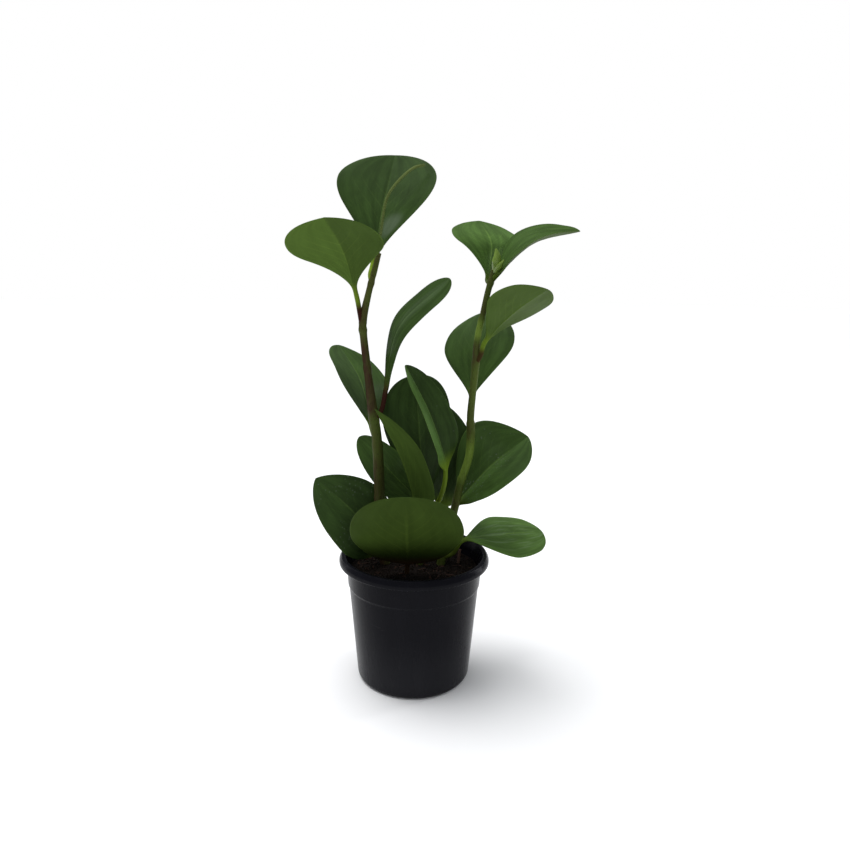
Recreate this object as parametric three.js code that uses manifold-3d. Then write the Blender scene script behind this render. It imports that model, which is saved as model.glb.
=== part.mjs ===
// A potted peperomia: three fleshy stems with thick, spoon-shaped leaves in a round black nursery pot.
// Millimetres, +Z up, the plant's front towards -Y. The origin is the middle of the pot's underside.
import * as THREE from 'three';
import Module from 'manifold-3d';
import { mergeVertices } from 'three/addons/utils/BufferGeometryUtils.js';

// Pot
const POT_HEIGHT = 95;
const POT_RIM_RADIUS = 55;
const POT_TOP_EDGE_RADIUS = 53;
const POT_RIM_UNDERSIDE = 88.5;
const POT_RIM_ROUNDING = 1.2;
const POT_RIM_SLOPE = 3.2;
const POT_COLLAR_BOTTOM = 72.5;
const POT_COLLAR_TOP_RADIUS = 49.5;
const POT_COLLAR_BOTTOM_RADIUS = 48.6;
const POT_WALL_TOP_RADIUS = 47.8;
const POT_BASE_RADIUS = 41.6;
const POT_CORNER_RADIUS = 4;
const POT_INNER_BASE_RADIUS = 39.8;
const POT_INNER_TOP_RADIUS = 48;
const POT_FLOOR = 5;
const POT_SIDES = 48;
const POT_CORNER_STEPS = 4;
const FOOT_RING_INNER_RADIUS = 34;
const BASE_PAD_RADIUS = 12;
const BASE_RECESS = 2.5;
const DRAIN_HOLES = 8;
const DRAIN_HOLE_RADIUS = 4;
const DRAIN_CIRCLE_RADIUS = 23;
const DRAIN_HOLE_SIDES = 16;

// Soil
const SOIL_LEVEL = 83;
const SOIL_RINGS = 6;
const SOIL_LUMP = 1;
const SOIL_WALL_GAP = 0.4;
const SOIL_INNER_RING_RADIUS = 6;
const SOIL_LUMP_LENGTHS = { x: 4.1, y: 5.3, slanted: 7.9 };
const SOIL_LUMP_SHIFTS = { x: 0.7, slanted: 2 };

// Clearances and root depth
const GAP = 0.3;
const ROOT_DEPTH = 15;
const JOINING_DISTANCE = 1e-4;

// Stems: each point is x, y, z and the stem's radius there, thicker at the nodes
const STEM_SIDES = 10;
const STEM_STEPS_PER_SPAN = 2;
const STEMS = {
  stem_left: [
    [-21, 6, SOIL_LEVEL - ROOT_DEPTH, 3.6], [-22, 7, 83, 3.8], [-24.5, 7, 110, 3.9], [-26, 7, 134, 3.9],
    [-26.5, 6, 156, 3.9], [-28, 4, 182, 3.6], [-30.5, 3, 199, 3.7], [-33, 2, 221, 2.8],
    [-36.5, 1, 252, 2.6], [-37, 0, 262, 2.9], [-33, 1, 282, 2.2], [-29, 2, 297, 2], [-26, 3.6, 309, 1.7],
  ],
  stem_right: [
    [19, 8, SOIL_LEVEL - ROOT_DEPTH, 3], [20, 8, 83, 3.2], [24, 10, 102, 3.1], [29, 12, 122, 3],
    [34, 10, 147, 2.9], [39, 9, 165, 2.9], [40, 8, 184, 3.2], [39.5, 8, 195, 2.7],
    [40.5, 7, 212, 2.5], [42, 6, 233, 2.8], [43, 5, 253, 2.3], [46.5, 4, 271, 2.1],
    [49.5, 3, 286, 2.1], [53.3, 1.5, 299.5, 2.3],
  ],
  stem_middle: [
    [3, 6, SOIL_LEVEL - ROOT_DEPTH, 2.6], [4, 6, 83, 2.8], [7, 7, 105, 2.6], [10, 8, 124, 2.4],
    [12, 10, 136, 1.9],
  ],
};

// Smaller round pieces: the flower spike, the right stem's growing tip and a bare old leaf stalk
const STALK_SIDES = 8;
const STALKS = {
  flower_spike: {
    stem: 'stem_left',
    finish: 'spike',
    points: [
      [-26.5, 3, 304, 1.1], [-26, 5.5, 316, 1.1], [-24.5, 7.5, 326, 1.1], [-22.5, 9.5, 340, 1.1],
      [-20, 11, 348, 1.1], [-12.5, 15, 358.5, 1.2], [-2.5, 19, 367, 1.3], [4.5, 21, 369, 0.9],
    ],
  },
  growing_tip: {
    stem: 'stem_right',
    finish: 'young',
    points: [
      [52.6, 1.5, 298.6, 1.3], [52.9, -1.6, 300.9, 2.2], [53.6, -4.8, 304.3, 3.4], [53.6, -5.5, 308.5, 2.2],
      [52.8, -5.5, 312.5, 0.7],
    ],
  },
  old_stalk: {
    stem: null,
    finish: 'stem',
    points: [[32.4, 7, 75, 1.1], [33, 8.5, 83, 1.1], [34.5, 11, 93, 1]],
  },
};

// Leaves. The petiole starts at foot on the stem's middle line and bends to the blade's base.
// arch is how far the midrib bows towards the upper side, and faces is where the upper side looks.
// fold is how steeply each half rises from the midrib and curl how much more it turns by its margin,
// both in degrees. broadest is where the blade is widest, from 0 at its base to 1 at its tip.
// wedge and point shape the outline before and beyond that place. The blade is flat past FLAT_FROM.
const PETIOLE_RADIUS = 1.7;
const BLADE_THICKNESS = 1.2;
const BLADE_TIP_HALF_WIDTH = 1.5;
const BLADE_WEDGE = 1.4;
const BLADE_POINT = 0.5;
const PETIOLE_ROWS = 5;
const BLADE_ROWS = 11;
const BLADE_COLUMNS = 6;
const BLADE_ROW_SPREAD = 1.15;
const MARGIN_ANGLE = THREE.MathUtils.degToRad(15);
const FLAT_FROM = 0.25;
const SMALLEST_TURN = 1e-6;
const LEAVES = {
  leaf_left_top: {
    stem: 'stem_left', foot: [-31, 1.5, 289], bend: [-32, 4.5, 294.5], base: [-31, 8, 300],
    tip: [-17, 43, 378.5], arch: 2, width: 74, faces: [-0.25, -0.95, 0.25], fold: 7, curl: 6,
    broadest: 0.72, wedge: 2.2, point: 0.55,
  },
  leaf_left_upper: {
    stem: 'stem_left', foot: [-37, 0, 256], bend: [-38.8, -1, 268], base: [-41, -1, 280],
    tip: [-58, -32.5, 329], arch: 6, width: 72, faces: [0.2, 0.65, 0.75], fold: -8, curl: -4,
    broadest: 0.72, wedge: 2.4, point: 0.35,
  },
  leaf_left_inner: {
    stem: 'stem_left', foot: [-29.5, 3, 193], bend: [-24.5, 2.5, 200], base: [-21.5, 3, 213.5],
    tip: [22.5, -7.5, 292.5], arch: 15, width: 36, faces: [-0.75, -0.4, 0.5], fold: 0, curl: -2,
    broadest: 0.8, wedge: 0.8, point: 0.55,
  },
  leaf_left_outer: {
    stem: 'stem_left', foot: [-27.5, 4.5, 175], bend: [-30, 8, 180], base: [-32, 10, 186],
    tip: [-59, 46.5, 242], arch: 6, width: 56, faces: [0.75, -0.45, 0.5], fold: 4, curl: 7,
    broadest: 0.54, wedge: 1.7, point: 0.6,
  },
  leaf_left_back: {
    stem: 'stem_middle', foot: [9.5, 8, 121], bend: [8.5, 12.5, 124], base: [4.5, 17.5, 127],
    tip: [-43.5, 34, 173.5], arch: 4.5, width: 31, faces: [0, -1, 0.2], fold: 7, curl: 10,
    broadest: 0.36, wedge: 0.6, point: 0.55,
  },
  leaf_left_low: {
    stem: 'stem_left', foot: [-22, 7, 86], bend: [-23.5, 11, 87.5], base: [-26, 13, 88.5],
    tip: [-73, 7.5, 148], arch: 14.3, width: 54, faces: [0.2, -0.75, 0.6], fold: 3, curl: 8,
    broadest: 0.45, wedge: 0.9, point: 0.75,
  },
  leaf_right_top: {
    stem: 'stem_right', foot: [50.5, 3, 290], bend: [50.5, 7, 291], base: [49.5, 17, 292],
    tip: [43.5, 30.5, 333], arch: 11.5, width: 54, faces: [0.3, -0.6, 0.75], fold: -6, curl: 3,
    broadest: 0.7, wedge: 2.1, point: 0.45,
  },
  leaf_right_upper: {
    stem: 'stem_right', foot: [51, 2.5, 291], bend: [52.5, 1.5, 293], base: [54, -1, 295],
    tip: [108.5, -4, 324.5], arch: 8, width: 39, faces: [-0.15, -0.25, 0.95], fold: 17, curl: 5,
    broadest: 0.44, wedge: 1.2,
  },
  leaf_right_front: {
    stem: 'stem_right', foot: [42, 6, 234], bend: [45, 3, 240], base: [47.5, 1, 249.5],
    tip: [86, -18.5, 286.5], arch: 3, width: 74, faces: [-0.4, 0.45, 0.8], fold: 7, curl: -4,
    broadest: 0.66, wedge: 1.8, point: 0.65,
  },
  leaf_right_back: {
    stem: 'stem_right', foot: [40, 8, 190], bend: [40, 11, 197], base: [40, 13, 206], tip: [51, 50, 268],
    arch: 4, width: 56, faces: [-0.45, -0.8, 0.4], fold: -4, curl: 1, broadest: 0.62, wedge: 1.8,
    point: 0.6,
  },
  leaf_right_low: {
    stem: 'stem_right', foot: [26.5, 11, 111], bend: [27, 14, 118], base: [31.5, 16, 126],
    tip: [83.5, 20, 178.5], arch: 4.5, width: 81, faces: [-0.55, -0.45, 0.7], fold: 10, curl: 12,
    broadest: 0.62, wedge: 1.2, point: 0.7,
  },
  leaf_right_rim: {
    stem: 'stem_right', foot: [20.5, 8, 87], bend: [29, 5, 92], base: [35, 4, 102],
    tip: [98.5, 27.5, 101.5], arch: 2, width: 53, faces: [0, -0.3, 0.95], fold: -2, curl: -6,
    broadest: 0.54, wedge: 1.9, point: 0.45,
  },
  leaf_middle_tall: {
    stem: 'stem_middle', foot: [9, 8, 119], bend: [18.5, 2, 136], base: [22, 0, 157], tip: [-7.5, 0.5, 233],
    arch: 5, width: 37, faces: [0.8, -0.55, 0.25], fold: 20, curl: 5, broadest: 0.38, wedge: 0.9,
    point: 0.6,
  },
  leaf_middle_front: {
    stem: 'stem_middle', foot: [5.5, 6.5, 94], bend: [4.5, -1, 101], base: [3.5, -9, 120],
    tip: [-26.5, -29.5, 207], arch: 5.5, width: 32, faces: [0.75, 0.6, 0.35], fold: 60, curl: 8,
    broadest: 0.3, wedge: 0.9, point: 0.9,
  },
  leaf_middle_back: {
    stem: 'stem_middle', foot: [6.5, 7, 102], bend: [8, 13.5, 107], base: [9, 20.5, 124.5],
    tip: [-0.5, 45.5, 220], arch: 4.5, width: 54.5, faces: [-0.25, -0.9, 0.35], fold: 9, curl: 11,
    broadest: 0.68, point: 0.45,
  },
  leaf_middle_right: {
    stem: 'stem_middle', foot: [8, 7.5, 112], bend: [15, 18, 110], base: [22, 35, 118],
    tip: [22, 56, 195.5], arch: 4.5, width: 46, faces: [0.25, -0.9, 0.3], fold: 8, curl: 10,
    broadest: 0.48, wedge: 0.7, point: 0.75,
  },
  leaf_front: {
    stem: null, foot: [-5, -10, SOIL_LEVEL - ROOT_DEPTH], bend: [-5, -11, 86], base: [-4.5, -13, 91.5],
    tip: [-5, -58, 155], arch: -1.5, width: 79, faces: [0, 0.75, 0.65], fold: 0, curl: 10, broadest: 0.44,
    wedge: 0.5, point: 0.45,
  },
};

// Finishes
const FINISHES = {
  pot: { color: '#1a1a1d', roughness: 0.4 },
  soil: { color: '#1a1511', roughness: 0.95 },
  stem: { color: '#453f22', roughness: 0.5 },
  leaf: { color: '#34502a', roughness: 0.35 },
  young: { color: '#7d9a34', roughness: 0.4 },
  spike: { color: '#6e7a38', roughness: 0.6 },
};

const group = new THREE.Group();

// Adds a named piece with its own finish
function addPiece(name, geometry, finish) {
  const material = new THREE.MeshStandardMaterial({ ...FINISHES[finish], metalness: 0 });
  const mesh = new THREE.Mesh(geometry, material);
  mesh.name = name;
  group.add(mesh);
}

// Closed solids for joining and cutting
const manifold = await Module();
manifold.setup();

function toSolid(geometry) {
  const bare = geometry.clone();
  bare.deleteAttribute('normal');
  bare.deleteAttribute('uv');
  const merged = mergeVertices(bare, JOINING_DISTANCE);
  return new manifold.Manifold(new manifold.Mesh({
    numProp: 3,
    vertProperties: new Float32Array(merged.attributes.position.array),
    triVerts: new Uint32Array(merged.index.array),
  }));
}

function toGeometry(solid) {
  const mesh = solid.getMesh();
  const geometry = new THREE.BufferGeometry();
  geometry.setAttribute('position', new THREE.BufferAttribute(mesh.vertProperties, 3));
  geometry.setIndex(new THREE.BufferAttribute(mesh.triVerts, 1));
  geometry.computeVertexNormals();
  return geometry;
}

// Skins a row of rings. A ring's first half runs along the top side and its second half back along
// the underside, and both sides are split along the same diagonals. Each end is closed flat.
function loft(rings) {
  const count = rings[0].length;
  const half = count / 2;
  const index = [];
  for (let row = 0; row < rings.length - 1; row += 1) {
    for (let k = 0; k < count; k += 1) {
      const next = (k + 1) % count;
      const a = row * count + k;
      const b = row * count + next;
      const c = (row + 1) * count + next;
      const d = (row + 1) * count + k;
      if (k < half) {
        index.push(a, b, c, a, c, d);
      } else {
        index.push(a, b, d, b, c, d);
      }
    }
  }
  const last = (rings.length - 1) * count;
  for (let k = 0; k < half - 1; k += 1) {
    const across = count - 1 - k;
    index.push(k, across, across - 1, k, across - 1, k + 1);
    index.push(last + k, last + across - 1, last + across, last + k, last + k + 1, last + across - 1);
  }
  const geometry = new THREE.BufferGeometry();
  const points = rings.flat().flatMap((point) => point.toArray());
  geometry.setAttribute('position', new THREE.Float32BufferAttribute(points, 3));
  geometry.setIndex(index);
  return facingOut(geometry);
}

// Turns a closed skin's triangles round if they face inwards
function facingOut(geometry) {
  const position = geometry.attributes.position;
  const index = geometry.index.array;
  const [a, b, c] = [new THREE.Vector3(), new THREE.Vector3(), new THREE.Vector3()];
  let volume = 0;
  for (let i = 0; i < index.length; i += 3) {
    a.fromBufferAttribute(position, index[i]);
    b.fromBufferAttribute(position, index[i + 1]);
    c.fromBufferAttribute(position, index[i + 2]);
    volume += a.dot(b.cross(c));
  }
  if (volume < 0) {
    for (let i = 0; i < index.length; i += 3) {
      [index[i + 1], index[i + 2]] = [index[i + 2], index[i + 1]];
    }
  }
  geometry.computeVertexNormals();
  return geometry;
}

// Pot: one wall turned about the axis, with a rolled rim, a collar band, a foot ring and drain holes
function makePot() {
  const profile = [
    [0, 0],
    [BASE_PAD_RADIUS, 0],
    [BASE_PAD_RADIUS + 1, BASE_RECESS],
    [FOOT_RING_INNER_RADIUS - 1, BASE_RECESS],
    [FOOT_RING_INNER_RADIUS, 0],
  ];
  for (let step = 0; step <= POT_CORNER_STEPS; step += 1) {
    const angle = (step / POT_CORNER_STEPS) * Math.PI / 2;
    profile.push([
      POT_BASE_RADIUS - POT_CORNER_RADIUS + POT_CORNER_RADIUS * Math.sin(angle),
      POT_CORNER_RADIUS - POT_CORNER_RADIUS * Math.cos(angle),
    ]);
  }
  profile.push(
    [POT_WALL_TOP_RADIUS, POT_COLLAR_BOTTOM - 1],
    [POT_COLLAR_BOTTOM_RADIUS, POT_COLLAR_BOTTOM],
    [POT_COLLAR_TOP_RADIUS, POT_RIM_UNDERSIDE],
    [POT_RIM_RADIUS - POT_RIM_ROUNDING, POT_RIM_UNDERSIDE],
    [POT_RIM_RADIUS, POT_RIM_UNDERSIDE + POT_RIM_ROUNDING],
    [POT_RIM_RADIUS, POT_HEIGHT - POT_RIM_SLOPE],
    [POT_TOP_EDGE_RADIUS, POT_HEIGHT - POT_RIM_ROUNDING / 2],
    [POT_TOP_EDGE_RADIUS - POT_RIM_ROUNDING, POT_HEIGHT],
    [POT_TOP_EDGE_RADIUS - 2 * POT_RIM_ROUNDING, POT_HEIGHT - POT_RIM_ROUNDING / 2],
    [POT_INNER_TOP_RADIUS, POT_RIM_UNDERSIDE],
    [POT_INNER_BASE_RADIUS, POT_FLOOR],
    [0, POT_FLOOR],
  );
  const wall = new THREE.LatheGeometry(profile.map(([r, z]) => new THREE.Vector2(r, z)), POT_SIDES);
  wall.rotateX(Math.PI / 2);
  let pot = toSolid(facingOut(mergeLathe(wall)));
  for (let hole = 0; hole < DRAIN_HOLES; hole += 1) {
    const angle = (hole / DRAIN_HOLES) * Math.PI * 2;
    const drill = new THREE.CylinderGeometry(
      DRAIN_HOLE_RADIUS, DRAIN_HOLE_RADIUS, 4 * POT_FLOOR, DRAIN_HOLE_SIDES,
    );
    drill.rotateX(Math.PI / 2);
    drill.translate(DRAIN_CIRCLE_RADIUS * Math.cos(angle), DRAIN_CIRCLE_RADIUS * Math.sin(angle), 0);
    pot = pot.subtract(toSolid(drill));
  }
  return toGeometry(pot);
}

// Joins a lathe's seam and poles, so that its skin is closed
function mergeLathe(geometry) {
  geometry.deleteAttribute('normal');
  geometry.deleteAttribute('uv');
  const merged = mergeVertices(geometry, JOINING_DISTANCE);
  const kept = [];
  const old = merged.index.array;
  for (let i = 0; i < old.length; i += 3) {
    const [a, b, c] = [old[i], old[i + 1], old[i + 2]];
    if (a !== b && b !== c && c !== a) {
      kept.push(a, b, c);
    }
  }
  merged.setIndex(kept);
  return merged;
}

// Radius of the pot's inner wall at a height
function innerRadius(z) {
  const share = (z - POT_FLOOR) / (POT_RIM_UNDERSIDE - POT_FLOOR);
  return POT_INNER_BASE_RADIUS + share * (POT_INNER_TOP_RADIUS - POT_INNER_BASE_RADIUS);
}

// Height of the soil's lumpy surface
function soilHeight(x, y) {
  const { x: lengthX, y: lengthY, slanted } = SOIL_LUMP_LENGTHS;
  const straight = Math.sin(x / lengthX + SOIL_LUMP_SHIFTS.x) * Math.cos(y / lengthY);
  const across = Math.sin((x + y) / slanted + SOIL_LUMP_SHIFTS.slanted);
  return SOIL_LEVEL + SOIL_LUMP * 0.5 * (straight + across);
}

// Soil: a plug that fills the pot, with a lumpy top and a plain hole for each stem
function makeSoil(holes) {
  const bottom = POT_FLOOR + GAP;
  const rings = [];
  const addRing = (radius, height) => {
    const ring = [];
    for (let k = 0; k < POT_SIDES; k += 1) {
      const angle = (k / POT_SIDES) * Math.PI * 2;
      const x = radius * Math.sin(angle);
      const y = -radius * Math.cos(angle);
      ring.push(new THREE.Vector3(x, y, height === null ? soilHeight(x, y) : height));
    }
    rings.push(ring);
  };
  addRing(SOIL_INNER_RING_RADIUS, bottom);
  addRing(innerRadius(bottom) - SOIL_WALL_GAP, bottom);
  for (let ring = SOIL_RINGS; ring >= 1; ring -= 1) {
    addRing((innerRadius(SOIL_LEVEL - SOIL_LUMP) - SOIL_WALL_GAP) * ring / SOIL_RINGS, null);
  }
  let soil = toSolid(disc(rings));
  for (const hole of holes) {
    soil = soil.subtract(hole);
  }
  return toGeometry(soil);
}

// Skins round rings and closes both ends with a fan about the ring's middle
function disc(rings) {
  const count = rings[0].length;
  const points = rings.flat();
  const middle = (ring) => ring.reduce((sum, p) => sum.add(p), new THREE.Vector3()).divideScalar(count);
  const first = points.push(middle(rings[0])) - 1;
  const last = points.push(middle(rings.at(-1))) - 1;
  const index = [];
  for (let row = 0; row < rings.length - 1; row += 1) {
    for (let k = 0; k < count; k += 1) {
      const next = (k + 1) % count;
      const a = row * count;
      const b = (row + 1) * count;
      index.push(a + k, a + next, b + next, a + k, b + next, b + k);
    }
  }
  const top = (rings.length - 1) * count;
  for (let k = 0; k < count; k += 1) {
    const next = (k + 1) % count;
    index.push(first, next, k, last, top + k, top + next);
  }
  const geometry = new THREE.BufferGeometry();
  geometry.setAttribute('position', new THREE.Float32BufferAttribute(points.flatMap((p) => p.toArray()), 3));
  geometry.setIndex(index);
  return facingOut(geometry);
}

// A round stalk through points of x, y, z and radius, with extra added to every radius
function makeStalk(points, sides, extra = 0) {
  const curve = new THREE.CatmullRomCurve3(points.map(([x, y, z]) => new THREE.Vector3(x, y, z)));
  const spans = points.length - 1;
  const steps = spans * STEM_STEPS_PER_SPAN;
  const rings = [];
  for (let step = 0; step <= steps; step += 1) {
    const place = step / STEM_STEPS_PER_SPAN;
    const before = Math.min(Math.floor(place), spans - 1);
    const radius = THREE.MathUtils.lerp(points[before][3], points[before + 1][3], place - before) + extra;
    const centre = curve.getPoint(step / steps);
    const along = curve.getTangent(step / steps);
    if (step === 0) {
      centre.addScaledVector(along, -extra);
    }
    if (step === steps) {
      centre.addScaledVector(along, extra);
    }
    const side = new THREE.Vector3(0, 1, 0).cross(along).normalize();
    const back = along.clone().cross(side);
    const ring = [];
    for (let k = 0; k < sides; k += 1) {
      const angle = (k + 0.5) / sides * Math.PI * 2;
      ring.push(centre.clone()
        .addScaledVector(side, radius * Math.cos(angle))
        .addScaledVector(back, radius * Math.sin(angle)));
    }
    rings.push(ring);
  }
  return loft(rings);
}

// Share of the full half-width at a place along the blade, from 0 at its base to 1 at its tip
function bladeOutline(along, { broadest, wedge = BLADE_WEDGE, point = BLADE_POINT }) {
  if (along < broadest) {
    return Math.sin((along / broadest) * Math.PI / 2) ** wedge;
  }
  const beyond = (along - broadest) / (1 - broadest);
  return Math.max(0, 1 - beyond ** 2) ** point;
}

// One leaf: a round petiole that widens into a thick blade with an arched midrib
function makeLeaf(leaf, extra = 0) {
  const vector = (values) => new THREE.Vector3(...values);
  const base = vector(leaf.base);
  const tip = vector(leaf.tip);
  const faces = vector(leaf.faces).normalize();
  const chord = tip.clone().sub(base).normalize();
  const bow = faces.clone().addScaledVector(chord, -faces.dot(chord)).normalize();
  const middle = base.clone().lerp(tip, 0.5).addScaledVector(bow, leaf.arch);
  const spine = new THREE.CatmullRomCurve3([vector(leaf.foot), vector(leaf.bend), base, middle, tip]);
  const rings = [];
  for (let row = 0; row < PETIOLE_ROWS; row += 1) {
    rings.push(leafRing(spine, 0.5 * row / PETIOLE_ROWS, 0, faces, leaf, extra));
  }
  for (let row = 0; row <= BLADE_ROWS; row += 1) {
    const share = row / BLADE_ROWS;
    const along = Math.sin(share * Math.PI / 2) ** BLADE_ROW_SPREAD;
    rings.push(leafRing(spine, 0.5 + 0.5 * along, along, faces, leaf, extra));
  }
  return loft(rings);
}

// One ring of a leaf: along is 0 on the petiole and runs to 1 at the blade's tip
function leafRing(spine, place, along, faces, leaf, extra) {
  const centre = spine.getPoint(place);
  const tangent = spine.getTangent(place);
  const side = tangent.clone().cross(faces).normalize();
  const up = side.clone().cross(tangent).normalize();
  const blade = THREE.MathUtils.smoothstep(along, 0, FLAT_FROM);
  const full = leaf.width / 2;
  const outline = full * bladeOutline(along, leaf);
  const width = Math.hypot(PETIOLE_RADIUS * (1 - along), outline);
  const halfWidth = Math.max(width, BLADE_TIP_HALF_WIDTH) + extra;
  const fold = THREE.MathUtils.degToRad(leaf.fold) * blade;
  const curl = THREE.MathUtils.degToRad(leaf.curl) * blade + SMALLEST_TURN;
  const ring = [];
  for (let k = 0; k < 2 * (BLADE_COLUMNS + 1); k += 1) {
    const topSide = k <= BLADE_COLUMNS;
    const column = topSide ? k : 2 * BLADE_COLUMNS + 1 - k;
    const angle = MARGIN_ANGLE + (column / BLADE_COLUMNS) * (Math.PI - 2 * MARGIN_ANGLE);
    const across = Math.cos(angle) / Math.cos(MARGIN_ANGLE);
    const distance = Math.abs(across) * halfWidth;
    const turn = curl * distance / full;
    const out = (full / curl) * (Math.sin(fold + turn) - Math.sin(fold));
    const rise = (full / curl) * (Math.cos(fold) - Math.cos(fold + turn));
    const round = PETIOLE_RADIUS * Math.sin(angle);
    const half = THREE.MathUtils.lerp(round, BLADE_THICKNESS / 2, blade) + extra;
    const thick = topSide ? half : -half;
    const lean = (fold + turn) * Math.sign(across);
    ring.push(centre.clone()
      .addScaledVector(side, Math.sign(across) * out - thick * Math.sin(lean))
      .addScaledVector(up, rise + thick * Math.cos(lean)));
  }
  return ring;
}

// Build the plant
const stemSolids = {};
const holes = [];
for (const [name, points] of Object.entries(STEMS)) {
  addPiece(name, makeStalk(points, STEM_SIDES), 'stem');
  stemSolids[name] = toSolid(makeStalk(points, STEM_SIDES, GAP));
  holes.push(stemSolids[name]);
}
for (const [name, stalk] of Object.entries(STALKS)) {
  let geometry = makeStalk(stalk.points, STALK_SIDES);
  if (stalk.stem) {
    geometry = toGeometry(toSolid(geometry).subtract(stemSolids[stalk.stem]));
  } else {
    holes.push(toSolid(makeStalk(stalk.points, STALK_SIDES, GAP)));
  }
  addPiece(name, geometry, stalk.finish);
}
for (const [name, leaf] of Object.entries(LEAVES)) {
  let geometry = makeLeaf(leaf);
  if (leaf.stem) {
    geometry = toGeometry(toSolid(geometry).subtract(stemSolids[leaf.stem]));
  } else {
    const [x, y, z] = leaf.foot;
    holes.push(toSolid(makeLeaf({ ...leaf, foot: [x, y, z - GAP] }, GAP)));
  }
  addPiece(name, geometry, 'leaf');
}
addPiece('pot', makePot(), 'pot');
addPiece('soil', makeSoil(holes), 'soil');

export default group;
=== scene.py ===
"""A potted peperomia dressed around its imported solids: waxy leaves, fleshy stems, peat and a black pot."""

import math

import bpy
import numpy as np
from mathutils import Matrix, Vector


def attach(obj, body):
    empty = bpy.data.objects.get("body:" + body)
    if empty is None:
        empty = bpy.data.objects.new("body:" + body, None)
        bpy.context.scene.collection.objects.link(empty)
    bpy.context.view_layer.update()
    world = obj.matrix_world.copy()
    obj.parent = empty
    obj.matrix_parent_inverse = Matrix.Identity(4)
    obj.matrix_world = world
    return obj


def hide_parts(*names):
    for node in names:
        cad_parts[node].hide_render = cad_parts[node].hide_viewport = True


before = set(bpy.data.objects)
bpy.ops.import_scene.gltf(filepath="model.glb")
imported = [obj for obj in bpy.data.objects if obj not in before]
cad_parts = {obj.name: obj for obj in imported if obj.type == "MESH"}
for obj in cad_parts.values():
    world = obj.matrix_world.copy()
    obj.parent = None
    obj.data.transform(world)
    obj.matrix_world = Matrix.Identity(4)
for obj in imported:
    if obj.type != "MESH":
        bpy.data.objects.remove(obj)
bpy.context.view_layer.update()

MM = 0.001
SEED = 11

# Pot, in millimetres
POT_HEIGHT = 95
POT_RIM_RADIUS = 55
POT_TOP_EDGE_RADIUS = 53
POT_RIM_UNDERSIDE = 88.5
POT_COLLAR_BOTTOM = 72.5
POT_COLLAR_TOP_RADIUS = 49.5
POT_COLLAR_BOTTOM_RADIUS = 48.6
POT_WALL_TOP_RADIUS = 47.8
POT_BASE_RADIUS = 41.6
POT_CORNER_RADIUS = 4
POT_INNER_BASE_RADIUS = 39.8
POT_INNER_TOP_RADIUS = 48
POT_FLOOR = 5
FOOT_RING_INNER_RADIUS = 34
BASE_PAD_RADIUS = 12
BASE_RECESS = 2.5
DRAIN_HOLES = 8
DRAIN_HOLE_RADIUS = 4
DRAIN_CIRCLE_RADIUS = 23
POT_RIM_SHOULDER = 3.2
POT_LIP_BREADTH = 2.4
POT_RECESS_SLOPE = 1
POT_SIDES = 160
DRILL_SIDES = 32
DRILL_OVERSHOOT = 2

# Soil, with the radius and height of the two rings at its foot
SOIL_LEVEL = 83
SOIL_RADIUS = 47.2
SOIL_INNER_RING = 0.4
SOIL_FOOT = [(39.2, 5.4), (39.6, 11.4)]
SOIL_RINGS = 60
SOIL_SIDES = 180
SOIL_LUMPS = 0.4
SOIL_CRUMBS = 0.12
ROOT_DEPTH = 15

# Bits strewn on the soil: how many a square metre, their range of scale and their lift in millimetres
STREWN_BITS = {
    "peat_crumbs": dict(count=330000, smallest=0.5, largest=1.5, lift=0.1),
    "bark_bits": dict(count=26000, smallest=0.5, largest=1.3, lift=0.3),
    "root_fibres": dict(count=9000, smallest=0.5, largest=1.2, lift=0.5),
}
STREWN_RADIUS = SOIL_RADIUS - 1
STREWN_INNER_RING = 0.5
STREWN_RINGS = 40
STREWN_SIDES = 96
BIT_TILT = 0.9
CRUMB_SIZE = (1, 0.9, 0.8)
CHIP_SIZE = (3.4, 1.5, 0.7)
FIBRE_LENGTH = 7
FIBRE_THICKNESS = 0.28

# Stems: x, y, z and radius, thicker at the nodes
STEMS = {
    "stem_left": [
        (-21, 6, SOIL_LEVEL - ROOT_DEPTH, 3.6), (-22, 7, 83, 3.8), (-24.5, 7, 110, 3.9),
        (-26, 7, 134, 3.9), (-26.5, 6, 156, 3.9), (-28, 4, 182, 3.6), (-30.5, 3, 199, 3.7),
        (-33, 2, 221, 2.8), (-36.5, 1, 252, 2.6), (-37, 0, 262, 2.9), (-33, 1, 282, 2.2),
        (-29, 2, 297, 2), (-26, 3.6, 309, 1.7),
    ],
    "stem_right": [
        (19, 8, SOIL_LEVEL - ROOT_DEPTH, 3), (20, 8, 83, 3.2), (24, 10, 102, 3.1), (29, 12, 122, 3),
        (34, 10, 147, 2.9), (39, 9, 165, 2.9), (40, 8, 184, 3.2), (39.5, 8, 195, 2.7),
        (40.5, 7, 212, 2.5), (42, 6, 233, 2.8), (43, 5, 253, 2.3), (46.5, 4, 271, 2.1),
        (49.5, 3, 286, 2.1), (53.3, 1.5, 299.5, 2.3),
    ],
    "stem_middle": [
        (3, 6, SOIL_LEVEL - ROOT_DEPTH, 2.6), (4, 6, 83, 2.8), (7, 7, 105, 2.6), (10, 8, 124, 2.4),
        (12, 10, 136, 1.9),
    ],
}

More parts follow.
